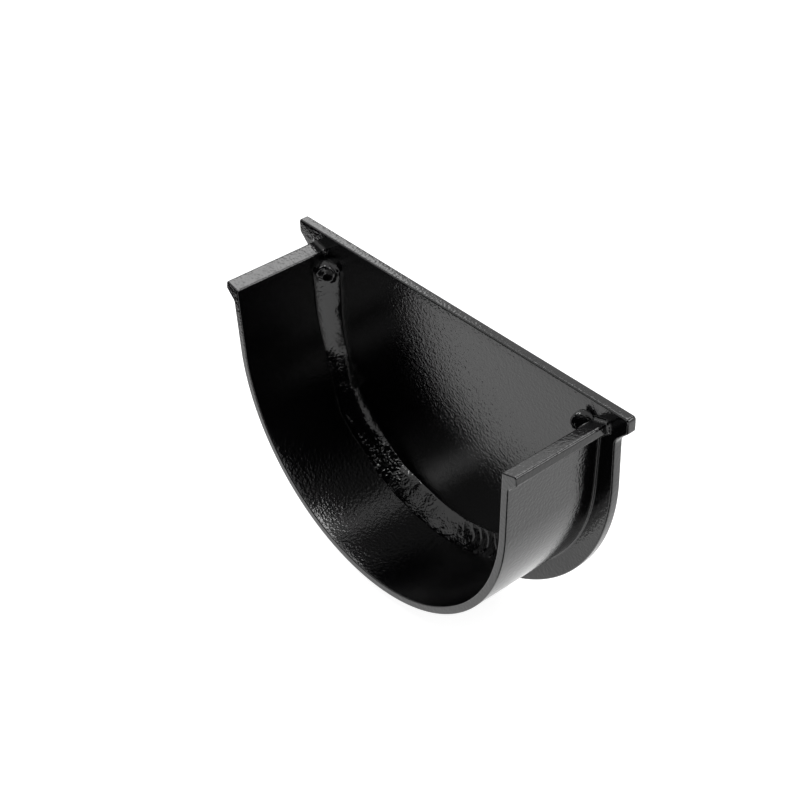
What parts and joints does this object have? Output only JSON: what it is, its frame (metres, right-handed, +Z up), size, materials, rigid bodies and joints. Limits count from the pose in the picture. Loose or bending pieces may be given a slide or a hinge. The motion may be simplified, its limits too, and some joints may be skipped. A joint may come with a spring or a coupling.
{
  "type": "gutter end cap",
  "caption": "Gutter end cap: a flat plate welded across the end of a short, deep half-round length of gutter with out-turned lips, coated in gloss black.",
  "frame": {"origin": "on the plate's outer face, at the centre of the gutter's half round", "axes": "+X across the gutter, +Y out of the closed end along the gutter, +Z up"},
  "size_m": [0.125, 0.033, 0.0805],
  "materials": {
    "black_powder_coat": "gloss black powder coat with a fine orange peel, over welded aluminium"
  },
  "bodies": {
    "root": {"end_plate": "black_powder_coat", "gutter_section": "black_powder_coat", "weld_bead": "black_powder_coat"}
  },
  "joints": []
}
